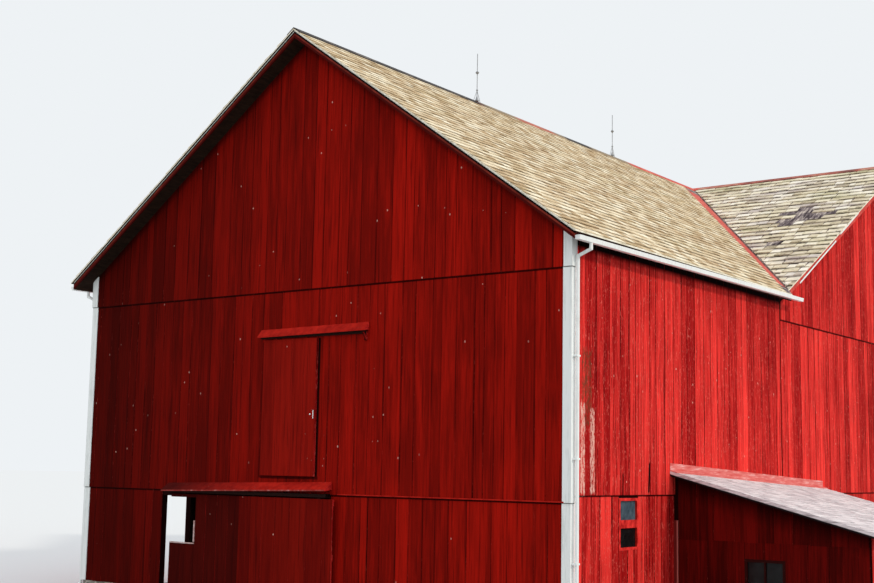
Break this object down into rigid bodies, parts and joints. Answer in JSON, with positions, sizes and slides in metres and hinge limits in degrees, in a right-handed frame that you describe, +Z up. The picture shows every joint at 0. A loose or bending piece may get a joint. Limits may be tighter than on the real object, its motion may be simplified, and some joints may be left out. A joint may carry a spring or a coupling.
{
  "type": "timber barn with a cross gable and a lean-to shed",
  "caption": "Red boarded timber barn: gabled front block meeting a wide cross-gabled rear block, sliding doors, gutters and a lean-to shed.",
  "frame": {"origin": "middle of the barn's rectangular footprint, shed and gutters left out, at ground level", "axes": "+Z up, -Y out of the front gable with the doors, +X towards the lean-to shed"},
  "size_m": [16.53, 26.738, 12.526],
  "materials": {
    "red_boards": "old paint over sawn boards",
    "red_doors": "old paint over sawn boards",
    "red_trim": "old paint",
    "white_trim": "old white paint",
    "shingles": "weathered",
    "red_sheet": "old paint",
    "white_sheet": "satin",
    "shed_shingles": "weathered and pale",
    "timber": "rough sawn",
    "masonry": "rough",
    "iron": "galvanised and dull",
    "window_glass": "old sheet glass"
  },
  "bodies": {
    "barn": {"end_foundations": "masonry", "side_foundations": "masonry", "ground_floor": "masonry", "front_wall_lower": "red_boards", "front_wall_upper": "red_boards", "door_lintels": "red_boards", "front_gable": "red_boards", "right_wall": "red_boards", "left_wall_lower": "red_boards", "left_wall_upper": "red_boards", "right_cross_wall": "red_boards", "left_cross_wall": "red_boards", "right_cross_gable": "red_boards", "left_cross_gable": "red_boards", "rear_wall": "red_boards", "posts": "timber", "floor_girders": "timber", "mow_floor": "timber", "main_roof_right": "shingles", "main_roof_left": "shingles", "cross_roof_front_right": "shingles", "cross_roof_front_left": "shingles", "cross_roof_rear": "shingles", "main_ridge_cap": "red_trim", "cross_ridge_cap": "red_trim", "valley_flashings": "red_sheet", "rake_boards": "red_trim", "corner_boards": "white_trim", "gutters": "white_sheet", "downspouts": "white_sheet", "lightning_rods": "iron", "upper_door": "red_doors", "upper_door_hood": "red_trim", "lower_door_hood": "red_trim", "door_rails": "iron", "window_frames": "red_trim", "window_panes": "window_glass", "shed_end_walls": "red_boards", "shed_front_wall": "red_boards", "shed_roof": "shed_shingles", "shed_flashing": "red_sheet"},
    "right_leaf": {"lower_right_door": "red_doors", "lower_right_hangers": "iron"},
    "left_leaf": {"lower_left_door": "red_doors", "lower_left_hangers": "iron"}
  },
  "joints": [
    {"name": "right_leaf_slide", "type": "slide", "parent": "barn", "child": "right_leaf", "axis": [-1, 0, 0], "range_m": [0, 2.2]},
    {"name": "left_leaf_slide", "type": "slide", "parent": "barn", "child": "left_leaf", "axis": [1, 0, 0], "range_m": [-0.35, 2]}
  ]
}
